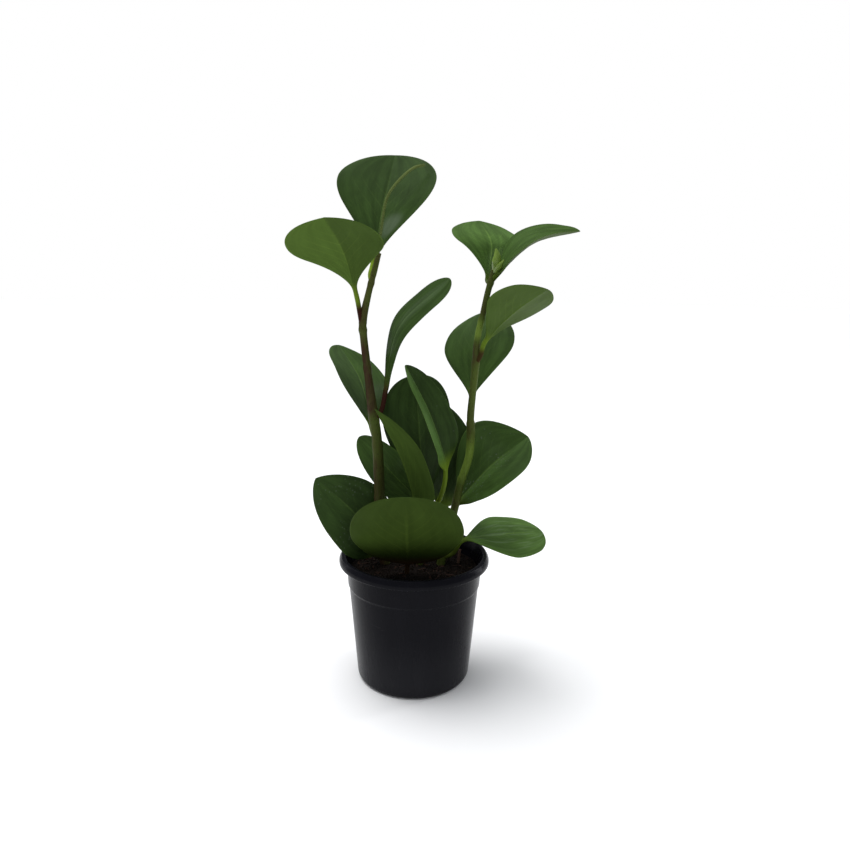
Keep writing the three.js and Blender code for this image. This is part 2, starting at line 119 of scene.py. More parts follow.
# Height and redness along each stem: -1 is fresh light green, 0 dull green and 1 dark red-brown
REDNESS = {
    "stem_left": [(83, 0.75), (110, 0.6), (140, 0.6), (155, 0.5), (166, 0.3), (192, 0.2), (201, 0.8),
                  (232, 0.85), (246, 0.7), (255, 0.2), (264, 0.65), (278, 0.35), (287, 0.6), (296, 0.3),
                  (309, 0.35)],
    "stem_right": [(83, 0), (94, 0.1), (108, 0.5), (118, 0.2), (126, 0.2), (142, 0.1), (153, -0.7),
                   (168, -1), (178, -0.2), (186, 0.3), (200, 0.25), (214, 0), (230, 0), (238, 0.7),
                   (247, 0.4), (255, -0.7), (263, -0.5), (270, 0.55), (280, 0.15), (288, 0.1), (298, 0.5)],
    "stem_middle": [(83, 0.3), (136, 0.1)],
}

# Heights of the swollen rings on the stems, at the leaves and at old leaf scars
STEM_RINGS = {
    "stem_left": (86, 110, 134, 175, 193, 230, 257, 289),
    "stem_right": (87, 111, 148, 190, 234, 265, 290),
    "stem_middle": (94, 102, 112, 120),
}
RING_SWELLING = 0.35
RING_BREADTH = 1.6
NECK_RISE = 3.2
NECK_BREADTH = 1.2
STEM_SIDES = 28
STEM_STEPS = 10
STEM_FURROWS = 7
FURROW_DEPTH = 0.05
FURROW_TWIST = 5

# Smaller round pieces: x, y, z and radius
FLOWER_SPIKE = [
    (-26.5, 3, 304, 1.1), (-26, 5.5, 316, 1.1), (-24.5, 7.5, 326, 1.1), (-22.5, 9.5, 340, 1.1),
    (-20, 11, 348, 1.1), (-12.5, 15, 358.5, 1.2), (-2.5, 19, 367, 1.3), (4.5, 21, 369, 0.9),
]
GROWING_TIP = [
    (52.6, 1.5, 298.6, 1.3), (52.9, -1.6, 300.9, 2.2), (53.6, -4.8, 304.3, 3.4), (53.6, -5.5, 308.5, 2.2),
    (52.8, -5.5, 312.5, 0.7),
]
YOUNG_SCALE = [(53, -1, 297.4, 1.5), (55.2, -7, 301, 2.1), (57.8, -10.5, 305, 0.5)]
OLD_STALK = [(32.4, 7, 75, 1.1), (33, 8.5, 83, 1.1), (34.5, 11, 93, 1)]

# Florets on the spike: how many, their size, distance from the axis and turn from one to the next
FLORETS = 560
FLORET_SIZE = (0.55, 0.55, 0.6)
FLORET_DISTANCE = 0.85
FLORET_TURN = 2.4
SPIKE_AXIS_INSET = 0.35
SPIKE_BARE_SHARE = 0.16
SPIKE_PATH_POINTS = 120

# Leaves, in millimetres and degrees. foot, bend and base lead the petiole from the stem's middle line to
# the blade, which ends at tip. arch is how far the midrib bows towards the upper side, and faces is where
# that side looks. fold and curl lift the two halves, broadest is where along the blade it is widest, and
# wedge and point shape its two ends. young is how light and yellow the blade is, fresh how bright the
# petiole is, red how red it is from the stem to red_to, where 1 is the blade's foot, and specks and
# streaks are pale spots and smears on the blade. painted_half_light is painted light and shade, the
# lightness of the two halves; painted_foot_shade is painted shade that darkens the foot; and
# painted_sheen_patch is a pale patch of painted sheen: its middle along and across the blade, its reach
# and strength. A matt leaf is dull on both sides.
PETIOLE_RADIUS = 1.7
BLADE_THICKNESS = 1.2
BLADE_WEDGE = 1.4
BLADE_POINT = 0.5
LEAVES = {
    "leaf_left_top": dict(
        foot=(-31, 1.5, 289), bend=(-32, 4.5, 294.5), base=(-31, 8, 300), tip=(-17, 43, 378.5), arch=2,
        width=74, faces=(-0.25, -0.95, 0.25), fold=7, curl=6, broadest=0.72, wedge=2.2, point=0.55,
        young=0.2, fresh=0.9, painted_sheen_patch=(0.36, 0.48, 0.08, 1)),
    "leaf_left_upper": dict(
        foot=(-37, 0, 256), bend=(-38.8, -1, 268), base=(-41, -1, 280), tip=(-58, -32.5, 329), arch=6,
        width=72, faces=(0.2, 0.65, 0.75), fold=-8, curl=-4, broadest=0.72, wedge=2.4, point=0.35,
        young=0.5, fresh=0.5, red=1, painted_half_light=(1.2, 0.8)),
    "leaf_left_inner": dict(
        foot=(-29.5, 3, 193), bend=(-24.5, 2.5, 200), base=(-21.5, 3, 213.5), tip=(22.5, -7.5, 292.5),
        arch=15, width=36, faces=(-0.75, -0.4, 0.5), fold=0, curl=-2, broadest=0.8, wedge=0.8, point=0.55,
        young=0.12, fresh=0.2, red=1, red_to=1.1, painted_sheen_patch=(0.75, 0, 0.25, 0.25), matt=True),
    "leaf_left_outer": dict(
        foot=(-27.5, 4.5, 175), bend=(-30, 8, 180), base=(-32, 10, 186), tip=(-59, 46.5, 242), arch=6,
        width=56, faces=(0.75, -0.45, 0.5), fold=4, curl=7, broadest=0.54, wedge=1.7, point=0.6),
    "leaf_left_back": dict(
        foot=(9.5, 8, 121), bend=(8.5, 12.5, 124), base=(4.5, 17.5, 127), tip=(-43.5, 34, 173.5), arch=4.5,
        width=31, faces=(0, -1, 0.2), fold=7, curl=10, broadest=0.36, wedge=0.6, point=0.55,
        young=0.32, painted_foot_shade=0.5),
    "leaf_left_low": dict(
        foot=(-22, 7, 86), bend=(-23.5, 11, 87.5), base=(-26, 13, 88.5), tip=(-73, 7.5, 148), arch=14.3,
        width=54, faces=(0.2, -0.75, 0.6), fold=3, curl=8, broadest=0.45, wedge=0.9, point=0.75,
        young=0.06, specks=0.6),
    "leaf_right_top": dict(
        foot=(50.5, 3, 290), bend=(50.5, 7, 291), base=(49.5, 17, 292), tip=(43.5, 30.5, 333), arch=11.5,
        width=54, faces=(0.3, -0.6, 0.75), fold=-6, curl=3, broadest=0.7, wedge=2.1, point=0.45,
        young=0.64, fresh=0.35, painted_half_light=(1.12, 1.12)),
    "leaf_right_upper": dict(
        foot=(51, 2.5, 291), bend=(52.5, 1.5, 293), base=(54, -1, 295), tip=(108.5, -4, 324.5), arch=8,
        width=39, faces=(-0.15, -0.25, 0.95), fold=17, curl=5, broadest=0.44, wedge=1.2,
        young=0.36, fresh=0.2, matt=True),
    "leaf_right_front": dict(
        foot=(42, 6, 234), bend=(45, 3, 240), base=(47.5, 1, 249.5), tip=(86, -18.5, 286.5), arch=3,
        width=74, faces=(-0.4, 0.45, 0.8), fold=7, curl=-4, broadest=0.66, wedge=1.8, point=0.65,
        young=0.4, fresh=0.4, red=0.9),
    "leaf_right_back": dict(
        foot=(40, 8, 190), bend=(40, 11, 197), base=(40, 13, 206), tip=(51, 50, 268), arch=4, width=56,
        faces=(-0.45, -0.8, 0.4), fold=-4, curl=1, broadest=0.62, wedge=1.8, point=0.6),
    "leaf_right_low": dict(
        foot=(26.5, 11, 111), bend=(27, 14, 118), base=(31.5, 16, 126), tip=(83.5, 20, 178.5), arch=4.5,
        width=81, faces=(-0.55, -0.45, 0.7), fold=10, curl=12, broadest=0.62, wedge=1.2, point=0.7,
        young=0.26, specks=1, painted_half_light=(1.5, 1.1)),
    "leaf_right_rim": dict(
        foot=(20.5, 8, 87), bend=(29, 5, 92), base=(35, 4, 102), tip=(98.5, 27.5, 101.5), arch=2,
        width=53, faces=(0, -0.3, 0.95), fold=-2, curl=-6, broadest=0.54, wedge=1.9, point=0.45,
        young=0.8, fresh=0.25, streaks=1),
    "leaf_middle_tall": dict(
        foot=(9, 8, 119), bend=(18.5, 2, 136), base=(22, 0, 157), tip=(-7.5, 0.5, 233), arch=5, width=37,
        faces=(0.8, -0.55, 0.25), fold=20, curl=5, broadest=0.38, wedge=0.9, point=0.6,
        young=0.1, fresh=0.6, specks=0.5, painted_half_light=(1.05, 2.7)),
    "leaf_middle_front": dict(
        foot=(5.5, 6.5, 94), bend=(4.5, -1, 101), base=(3.5, -9, 120), tip=(-26.5, -29.5, 207), arch=5.5,
        width=32, faces=(0.75, 0.6, 0.35), fold=60, curl=8, broadest=0.3, wedge=0.9, point=0.9),
    "leaf_middle_back": dict(
        foot=(6.5, 7, 102), bend=(8, 13.5, 107), base=(9, 20.5, 124.5), tip=(-0.5, 45.5, 220), arch=4.5,
        width=54.5, faces=(-0.25, -0.9, 0.35), fold=9, curl=11, broadest=0.68, point=0.45,
        young=0.06, painted_foot_shade=0.55),
    "leaf_middle_right": dict(
        foot=(8, 7.5, 112), bend=(15, 18, 110), base=(22, 35, 118), tip=(22, 56, 195.5), arch=4.5,
        width=46, faces=(0.25, -0.9, 0.3), fold=8, curl=10, broadest=0.48, wedge=0.7, point=0.75,
        young=0.06),
    # The front leaf's dull red-brown petiole is its own colour; its blush reaching past the foot of its
    # blade and its darkened foot are painted shade near the soil
    "leaf_front": dict(
        foot=(-5, -10, SOIL_LEVEL - ROOT_DEPTH), bend=(-5, -11, 86), base=(-4.5, -13, 91.5),
        tip=(-5, -58, 155), arch=-1.5, width=79, faces=(0, 0.75, 0.65), fold=0, curl=10, broadest=0.44,
        wedge=0.5, point=0.45, young=0.02, fresh=0, red=0.8, red_to=1.2, painted_foot_shade=0.8, matt=True),
}

# How strongly the two sides of a blade shine
UPPER_SHINE = 0.08
UNDER_SHINE = 0.02

# Fineness of the leaves, which is greater at the tip and the midrib
LEAF_COLUMNS = 40
PETIOLE_ROWS = 16
BLADE_ROWS = 56
TIP_CROWDING = 1.15
CENTRE_CROWDING = 0.75

# Details of the leaves, in millimetres or as shares of the blade's length and half-width
BLADE_FLAT_FROM = 0.25
# Reach of the painted shade at the blade's foot, as a share of the blade's length
PAINTED_FOOT_SHADE_REACH = 0.4
BLUSH_FADE = 0.15
BLADE_TIP_HALF_WIDTH = 0.3
TIP_THINNING = 0.45
PETIOLE_FOOT_SWELLING = 0.3
PETIOLE_FOOT_REACH = 0.12
MARGIN_WAVE = 0.35
MIDRIB_BREADTH = 1.1
MIDRIB_KEEL = 0.4
MIDRIB_GROOVE = 0.25
VEINS = 8
VEIN_SWEEP = 0.55
VEIN_BEND = 1.2
VEIN_RIDGE = 0.06
VEIN_GROOVE = 0.08
# Breadth of the painted sheen patch across the blade
PAINTED_SHEEN_BREADTH = 0.3


# Shapes

def unit(vectors):
    return vectors / np.linalg.norm(vectors, axis=-1, keepdims=True)


def smooth(value, low, high):
    """0 below low, 1 above high, and an even S between."""
    share = np.clip((value - low) / (high - low), 0, 1)
    return share * share * (3 - 2 * share)


def curve_point(points, place):
    """A point on the centripetal curve through points. place runs from 0 to 1, evenly over the spans."""
    spans = len(points) - 1
    first = min(int(place * spans), spans - 1)
    share = place * spans - first
    before = points[first - 1] if first > 0 else 2 * points[0] - points[1]
    after = points[first + 2] if first + 2 <= spans else 2 * points[-1] - points[-2]
    start, end = points[first], points[first + 1]
    gaps = [math.sqrt(np.linalg.norm(q - p)) for p, q in ((before, start), (start, end), (end, after))]
    leave = (start - before) / gaps[0] - (end - before) / (gaps[0] + gaps[1]) + (end - start) / gaps[1]
    arrive = (end - start) / gaps[1] - (after - start) / (gaps[1] + gaps[2]) + (after - end) / gaps[2]
    leave = leave * gaps[1]
    arrive = arrive * gaps[1]
    square = -3 * start + 3 * end - 2 * leave - arrive
    cube = 2 * start - 2 * end + leave + arrive
    return start + leave * share + square * share**2 + cube * share**3


def curve(points, places):
    """Points and directions along the curve through points."""
    points = np.array(points, float)
    step = 1e-4
    centres = np.array([curve_point(points, place) for place in places])
    ahead = np.array([curve_point(points, min(place + step, 1)) for place in places])
    behind = np.array([curve_point(points, max(place - step, 0)) for place in places])
    return centres, unit(ahead - behind)


def new_object(name, data):
    """A new object in the scene."""
    made = bpy.data.objects.new(name, data)
    bpy.context.scene.collection.objects.link(made)
    return made


def plain_mesh(piece):
    """A piece and its modifiers as one plain mesh."""
    evaluated = piece.evaluated_get(bpy.context.evaluated_depsgraph_get())
    return bpy.data.meshes.new_from_object(evaluated)


def mesh_object(name, points, faces):
    """A smooth closed mesh of points in millimetres, facing out."""
    mesh = bpy.data.meshes.new(name)
    mesh.from_pydata((np.asarray(points) * MM).tolist(), [], faces)
    mesh.validate()
    mesh.update()
    mesh.calc_loop_triangles()
    corners = np.array([[mesh.vertices[i].co for i in t.vertices] for t in mesh.loop_triangles])
    volume = np.einsum("ij,ij->", corners[:, 0], np.cross(corners[:, 1], corners[:, 2]))
    if volume < 0:
        mesh.flip_normals()
    mesh.shade_smooth()
    return new_object(name, mesh)


def round_angles(count):
    """Even angles round a circle."""
    return np.arange(count) / count * 2 * math.pi


def flat_ring(radius, height, sides):
    """A level circle of points about the axis."""
    angle = round_angles(sides)
    return np.stack([radius * np.cos(angle), radius * np.sin(angle), np.full(sides, height)], axis=-1)


def tube_faces(rows, count):
    """The four-sided faces between rows of rings."""
    index = np.arange(rows * count).reshape(rows, count)
    across = np.roll(index, -1, axis=1)
    return np.stack([index[:-1], across[:-1], across[1:], index[1:]], axis=-1).reshape(-1, 4).tolist()


def skin(name, rings, **values):
    """A closed mesh over rows of rings. Each value is one number a point, kept as an attribute."""
    rows, count, _ = rings.shape
    faces = tube_faces(rows, count)
    faces.append(list(range(count))[::-1])
    faces.append(list(range((rows - 1) * count, rows * count)))
    piece = mesh_object(name, rings.reshape(-1, 3), faces)
    for key, value in values.items():
        attribute = piece.data.attributes.new(key, "FLOAT", "POINT")
        spread = np.broadcast_to(value, (rows, count))
        attribute.data.foreach_set("value", spread.astype(np.float32).ravel())
    return piece


def blade_outline(along, broadest, wedge, point):
    """Share of the full half-width at places along the blade."""
    rising = np.sin(np.clip(along / broadest, 0, 1) * math.pi / 2) ** wedge
    beyond = np.clip((along - broadest) / (1 - broadest), 0, 1)
    falling = (1 - beyond**2) ** point
    return np.where(along < broadest, rising, falling)


def leaf_spine(foot, bend, base, tip, arch, faces):
    """A leaf's middle line: places on it and along its blade, points, and the ways across and up."""
    base, tip = np.array(base, float), np.array(tip, float)
    faces = unit(np.array(faces, float))
    chord = unit(tip - base)
    bow = unit(faces - chord * (faces @ chord))
    middle = (base + tip) / 2 + bow * arch
    blade = np.sin(np.linspace(0, 1, BLADE_ROWS + 1) * math.pi / 2) ** TIP_CROWDING
    petiole = np.linspace(0, 0.5, PETIOLE_ROWS, endpoint=False)
    place = np.concatenate([petiole, 0.5 + 0.5 * blade])
    along = np.concatenate([np.zeros(PETIOLE_ROWS), blade])
    centre, tangent = curve([foot, bend, base, middle, tip], place)
    side = unit(np.cross(tangent, faces))
    return place, along, centre, side, np.cross(side, tangent)


def leaf_marks(across, along, place, young=0.3, fresh=0.3, red=0.25, red_to=0.75, specks=0.0,
               streaks=0.0, painted_half_light=(1, 1), painted_foot_shade=0.0, painted_sheen_patch=None):
    """What the leaf's finish reads, at each point or all over the leaf."""
    # Painted light and shade: each half of the blade is made lighter or darker, as if lit from one side
    painted_light_gain = painted_half_light[1] + (painted_half_light[0] - painted_half_light[1]) * smooth(across, -0.06, 0.06)
    # Painted shade: the blade darkened towards its foot
    painted_light_gain = painted_light_gain * (1 - painted_foot_shade * smooth(PAINTED_FOOT_SHADE_REACH - along, 0, PAINTED_FOOT_SHADE_REACH))
    blush = red * smooth(red_to + BLUSH_FADE - 2 * place, 0, 2 * BLUSH_FADE)
    # Painted sheen: a pale patch on the upper side that stands in for a reflection of the light
    waxy = 0.0
    if painted_sheen_patch:
        patch_along, patch_across, reach, strength = painted_sheen_patch
        spread = np.hypot((along - patch_along) / reach, (across - patch_across) / PAINTED_SHEEN_BREADTH)
        waxy = strength * smooth(1.5 - spread, 0, 0.9)
    return dict(painted_light_gain=painted_light_gain, blush=blush, young=young, fresh=fresh, specks=specks, streaks=streaks,
                waxy=waxy)


def make_leaf(name, foot, bend, base, tip, arch, width, faces, fold, curl, broadest, wedge=BLADE_WEDGE,
              point=BLADE_POINT, **marks):
    """One leaf: a round petiole that widens into a thick blade with a midrib, veins and a soft margin."""
    draw = np.random.default_rng(SEED + sorted(LEAVES).index(name))
    place, along, centre, side, up = leaf_spine(foot, bend, base, tip, arch, faces)
    steps = np.linspace(1, -1, LEAF_COLUMNS + 1)
    across = steps - CENTRE_CROWDING * np.sin(2 * math.pi * steps) / (2 * math.pi)
    across = np.concatenate([across, across[-2:0:-1]])
    is_under = np.arange(len(across)) > LEAF_COLUMNS
    full = width / 2
    outline = full * blade_outline(along, broadest, wedge, point)
    half_width = np.maximum(np.hypot(PETIOLE_RADIUS * (1 - along), outline), BLADE_TIP_HALF_WIDTH)
    along, half_width, place = (v[:, None] for v in (along, half_width, place))
    flat = smooth(along, 0, BLADE_FLAT_FROM)

    # Each row is a trough: fold lifts the two halves at the midrib, and curl bends them further
    sign = np.sign(across)
    distance = np.abs(across) * half_width
    turn_rate = math.radians(curl) * flat + 1e-6
    lift = math.radians(fold) * flat
    turn = turn_rate * distance / full
    out = full / turn_rate * (np.sin(lift + turn) - np.sin(lift))
    rise = full / turn_rate * (np.cos(lift) - np.cos(lift + turn))
    phase, second = draw.uniform(0, 6.28, 2)
    wave = np.sin(along * 9 + phase + sign * 1.3) + 0.6 * np.sin(along * 17 + second + sign)
    rise = rise + MARGIN_WAVE * wave * np.abs(across) ** 3 * flat * smooth(1 - along, 0, 0.15)

    # Half of the thickness, with the midrib and the veins raised below and sunk above
    foot_swelling = 1 + PETIOLE_FOOT_SWELLING * smooth(PETIOLE_FOOT_REACH - place, 0, PETIOLE_FOOT_REACH)
    round_half = PETIOLE_RADIUS * foot_swelling * np.sqrt(1 - across**2)
    blade_half = BLADE_THICKNESS / 2 * (1 - TIP_THINNING * along) * (1 - np.abs(across) ** 6) ** 0.5
    half = round_half * (1 - flat) + blade_half * flat
    fade = smooth(1 - along, 0, 0.35) * flat
    midrib = np.exp(-((distance / MIDRIB_BREADTH) ** 2)) * fade
    vein_place = (along - VEIN_SWEEP * np.abs(across) ** VEIN_BEND) * VEINS
    from_vein = np.abs((vein_place + 0.5) % 1 - 0.5) * 2
    side_veins = smooth(0.35 - from_vein, 0, 0.35) * fade * smooth(1 - np.abs(across), 0.05, 0.5)
    raised = MIDRIB_KEEL * midrib * (1.1 - along) + VEIN_RIDGE * side_veins
    sunk = MIDRIB_GROOVE * midrib + VEIN_GROOVE * side_veins
    half = half + np.where(is_under, raised, -sunk)
    thick = np.where(is_under, -half, half)
    lean = (lift + turn) * sign
    rings = (centre[:, None] + side[:, None] * (sign * out - thick * np.sin(lean))[..., None]
             + up[:, None] * (rise + thick * np.cos(lean))[..., None])
    return skin(name.replace("leaf", "blade"), rings, across=across, along=along, under=is_under * 1.0,
                **leaf_marks(across, along, place, **marks), own=draw.uniform(0, 20))


def make_stalk(name, points, sides, steps_per_span, nodes=(), ridges=0.0, redness=None):
    """A round stalk through points of x, y, z and radius, with a swollen ring at each height in nodes."""
    spans = len(points) - 1
    steps = spans * steps_per_span
    places = np.linspace(0, 1, steps + 1)
    centre, tangent = curve([p[:3] for p in points], places)
    radius = np.interp(places * spans, np.arange(spans + 1), [p[3] for p in points])
    for height in nodes:
        above = centre[:, 2] - height
        radius = radius + RING_SWELLING * np.exp(-((above / RING_BREADTH) ** 2))
        radius = radius - 0.5 * RING_SWELLING * np.exp(-(((above - NECK_RISE) / NECK_BREADTH) ** 2))
    side = unit(np.cross([0, 1, 0], tangent))
    back = np.cross(tangent, side)
    angle = round_angles(sides)
    furrow = ridges * np.sin(angle * STEM_FURROWS + places[:, None] * FURROW_TWIST)
    grow = (radius[:, None] + furrow)[..., None]
    spoke = side[:, None] * np.cos(angle)[:, None] + back[:, None] * np.sin(angle)[:, None]
    rings = centre[:, None] + spoke * grow
    blush = np.interp(centre[:, 2], *zip(*redness)) if redness else np.zeros(steps + 1)
    return skin(name, rings, redness=blush[:, None], leftward=-spoke[..., 0])


def turned(name, profile, sides):
    """A solid turned about the axis from an outline that starts and ends on it."""
    rings = [flat_ring(radius, height, sides) for radius, height in profile if radius > 0]
    points = [p for ring in rings for p in ring] + [(0, 0, profile[0][1]), (0, 0, profile[-1][1])]
    faces = tube_faces(len(rings), sides)
    last = (len(rings) - 1) * sides
    for k in range(sides):
        n = (k + 1) % sides
        faces.append((len(points) - 2, n, k))
        faces.append((len(points) - 1, last + k, last + n))
    return mesh_object(name, points, faces)


def rounded(corners, steps=5):
    """An outline whose corners of r, z and rounding radius are turned into short arcs."""
    outline = []
    for i, (r, z, radius) in enumerate(corners):
        corner = np.array([r, z], float)
        if not radius:
            outline.append(tuple(corner))
            continue
        before = np.array(corners[i - 1][:2], float)
        after = np.array(corners[i + 1][:2], float)
        into, away = unit(before - corner), unit(after - corner)
        start, end = corner + into * radius, corner + away * radius
        for t in np.linspace(0, 1, steps + 1):
            bent = (1 - t) ** 2 * start + 2 * t * (1 - t) * corner + t**2 * end
            outline.append(tuple(bent))
    return outline


def make_pot():
    """The nursery pot: rolled rim, collar band, tapering wall, foot ring and drain holes."""
    corners = [
        (0, 0, 0), (BASE_PAD_RADIUS, 0, 0.4), (BASE_PAD_RADIUS + POT_RECESS_SLOPE, BASE_RECESS, 0.4),
        (FOOT_RING_INNER_RADIUS - POT_RECESS_SLOPE, BASE_RECESS, 0.4), (FOOT_RING_INNER_RADIUS, 0, 0.4),
        (POT_BASE_RADIUS, 0, POT_CORNER_RADIUS), (POT_WALL_TOP_RADIUS, POT_COLLAR_BOTTOM - 1, 0.4),
        (POT_COLLAR_BOTTOM_RADIUS, POT_COLLAR_BOTTOM, 0.9),
        (POT_COLLAR_TOP_RADIUS, POT_RIM_UNDERSIDE, 0.8),
        (POT_RIM_RADIUS, POT_RIM_UNDERSIDE, 1.4), (POT_RIM_RADIUS, POT_HEIGHT - POT_RIM_SHOULDER, 1.2),
        (POT_TOP_EDGE_RADIUS, POT_HEIGHT, 1), (POT_TOP_EDGE_RADIUS - POT_LIP_BREADTH, POT_HEIGHT, 1),
        (POT_INNER_TOP_RADIUS, POT_RIM_UNDERSIDE, 1), (POT_INNER_BASE_RADIUS, POT_FLOOR, 0.6),
        (0, POT_FLOOR, 0),
    ]
    pot = turned("nursery_pot", rounded(corners), POT_SIDES)
    low, high = -DRILL_OVERSHOOT, POT_FLOOR + DRILL_OVERSHOOT
    profile = [(0, low), (DRAIN_HOLE_RADIUS, low), (DRAIN_HOLE_RADIUS, high), (0, high)]
    drills = []
    for angle in round_angles(DRAIN_HOLES):
        drill = turned("drill", profile, DRILL_SIDES)
        way = Vector((math.cos(angle), math.sin(angle), 0))
        drill.data.transform(Matrix.Translation(way * DRAIN_CIRCLE_RADIUS * MM))
        drills.append(drill)
    for drill in drills:
        cut = pot.modifiers.new("drain hole", "BOOLEAN")
        cut.object = drill
        cut.solver = "EXACT"
    mesh = plain_mesh(pot)
    pot.modifiers.clear()
    pot.data = mesh
    for drill in drills:
        bpy.data.objects.remove(drill)
    return pot


def soil_height(x, y):
    """Height of the soil's surface: long lumps and short crumbs, both of uneven wavelengths."""
    lumps = np.sin(x / 4.1 + 0.7) * np.cos(y / 5.3) + np.sin((x + y) / 7.9 + 2)
    crumbs = np.sin(x * 1.9 + 1) * np.sin(y * 2.3) + np.sin(x * 3.1 - y * 2.7)
    return SOIL_LEVEL - SOIL_LUMPS + SOIL_LUMPS * lumps + SOIL_CRUMBS * crumbs


def soil_rings(outer, inner, count, sides):
    """Rings of points on the soil's surface, from the outer radius to the inner."""
    angle = round_angles(sides)
    rings = []
    for radius in np.linspace(outer, inner, count):
        x, y = radius * np.cos(angle), radius * np.sin(angle)
        rings.append(np.stack([x, y, soil_height(x, y)], axis=-1))
    return np.array(rings)


def make_soil():
    """The soil: a plug that fills the pot, with a lumpy top."""
    foot = [flat_ring(radius, height, SOIL_SIDES) for radius, height in SOIL_FOOT]
    top = soil_rings(SOIL_RADIUS, SOIL_INNER_RING, SOIL_RINGS, SOIL_SIDES)
    return skin("potting_soil", np.concatenate([foot, top]))


def lumpy_bit(name, size, roughness, seed):
    """A small irregular grain with few faces, to be scattered. size is its x, y and z in millimetres."""
    bpy.ops.mesh.primitive_ico_sphere_add(subdivisions=1, radius=0.5)
    bit = bpy.context.object
    bit.name = name
    draw = np.random.default_rng(seed)
    for vertex in bit.data.vertices:
        swelling = draw.uniform(1 - roughness, 1 + roughness)
        vertex.co = Vector(np.array(vertex.co) * np.array(size) * MM * swelling)
    return bit


def fibre_bit(name, length, thickness):
    """A short bent root fibre, to be scattered."""
    rows = np.linspace(0, 1, 6)
    bend = np.sin(rows * 2.5) * length * 0.18
    spine = np.stack([(rows - 0.5) * length, bend, np.zeros(6)], axis=-1)
    angle = round_angles(4)
    ring = np.stack([np.zeros(4), np.cos(angle), np.sin(angle)], axis=-1) * thickness / 2
    return skin(name, spine[:, None] + ring[None])


# Geometry Nodes

def add_node(tree, kind, links=None, **settings):
    """A new node with the given settings and with other nodes' results linked to its inputs."""
    node = tree.nodes.new(kind)
    for key, value in settings.items():
        setattr(node, key, value)
    for socket, source in (links or {}).items():
        tree.links.new(source, node.inputs[socket])
    return node


def node_tree(name, inputs):
    """A new geometry node group with a geometry in and out and the given named inputs."""
    tree = bpy.data.node_groups.new(name, "GeometryNodeTree")
    tree.interface.new_socket("Geometry", in_out="INPUT", socket_type="NodeSocketGeometry")
    for label, kind in inputs:
        tree.interface.new_socket(label, in_out="INPUT", socket_type="NodeSocket" + kind)
    tree.interface.new_socket("Geometry", in_out="OUTPUT", socket_type="NodeSocketGeometry")
    return tree, tree.nodes.new("NodeGroupInput").outputs


def set_copies(tree, given, points, rotation, scale=None):
    """Ends a tree: copies of the bit on the points, made real and with their finish."""
    bit = add_node(tree, "GeometryNodeObjectInfo", {"Object": given["Bit"]})
    copies = add_node(tree, "GeometryNodeInstanceOnPoints", {
        "Points": points, "Instance": bit.outputs["Geometry"], "Rotation": rotation})
    if scale:
        tree.links.new(scale, copies.inputs["Scale"])
    real = add_node(tree, "GeometryNodeRealizeInstances", {"Geometry": copies.outputs["Instances"]})
    coat = add_node(tree, "GeometryNodeSetMaterial", {
        "Geometry": real.outputs["Geometry"], "Material": given["Finish"]})
    add_node(tree, "NodeGroupOutput", {"Geometry": coat.outputs["Geometry"]})


def scatter_tree():
    """Copies of a bit, strewn and turned at random over a surface and lifted a little."""
    tree, given = node_tree("Strewn bits", [
        ("Bit", "Object"), ("Bits per square metre", "Float"), ("Smallest", "Float"), ("Largest", "Float"),
        ("Lift", "Float"), ("Seed", "Int"), ("Finish", "Material"),
    ])
    seed = {"Seed": given["Seed"]}
    strew = add_node(tree, "GeometryNodeDistributePointsOnFaces", {
        "Mesh": given["Geometry"], "Density": given["Bits per square metre"], **seed})
    turn = add_node(tree, "FunctionNodeRandomValue", seed, data_type="FLOAT_VECTOR")
    turn.inputs["Max"].default_value = (BIT_TILT, BIT_TILT, 2 * math.pi)
    size = add_node(tree, "FunctionNodeRandomValue", seed, data_type="FLOAT")
    bounds = [socket for socket in size.inputs if socket.type == "VALUE"]
    tree.links.new(given["Smallest"], bounds[0])
    tree.links.new(given["Largest"], bounds[1])
    lift = add_node(tree, "ShaderNodeCombineXYZ", {"Z": given["Lift"]})
    raised = add_node(tree, "GeometryNodeSetPosition", {
        "Geometry": strew.outputs["Points"], "Offset": lift.outputs["Vector"]})
    scale = next(socket for socket in size.outputs if socket.type == "VALUE")
    set_copies(tree, given, raised.outputs["Geometry"], turn.outputs["Value"], scale)
    return tree


def spiral_tree():
    """Copies of a bit, set in a spiral round a curve, as florets are round a spike."""
    tree, given = node_tree("Spiral of bits", [
        ("Bit", "Object"), ("Count", "Int"), ("Turn", "Float"), ("Distance", "Float"),
        ("Finish", "Material"),
    ])
    path = add_node(tree, "GeometryNodeMeshToCurve", {"Mesh": given["Geometry"]})
    spread = add_node(tree, "GeometryNodeCurveToPoints", {
        "Curve": path.outputs["Curve"], "Count": given["Count"]}, mode="COUNT")
    order = add_node(tree, "GeometryNodeInputIndex")
    angle = add_node(tree, "ShaderNodeMath", {
        0: order.outputs["Index"], 1: given["Turn"]}, operation="MULTIPLY")
    spin = add_node(tree, "ShaderNodeVectorRotate", {
        "Vector": spread.outputs["Normal"], "Axis": spread.outputs["Tangent"],
        "Angle": angle.outputs["Value"]}, rotation_type="AXIS_ANGLE")
    away = add_node(tree, "ShaderNodeVectorMath", {
        0: spin.outputs["Vector"], "Scale": given["Distance"]}, operation="SCALE")
    pushed = add_node(tree, "GeometryNodeSetPosition", {
        "Geometry": spread.outputs["Points"], "Offset": away.outputs["Vector"]})
    face = add_node(tree, "FunctionNodeAlignRotationToVector", {"Vector": spin.outputs["Vector"]})
    set_copies(tree, given, pushed.outputs["Geometry"], face.outputs["Rotation"])
    return tree


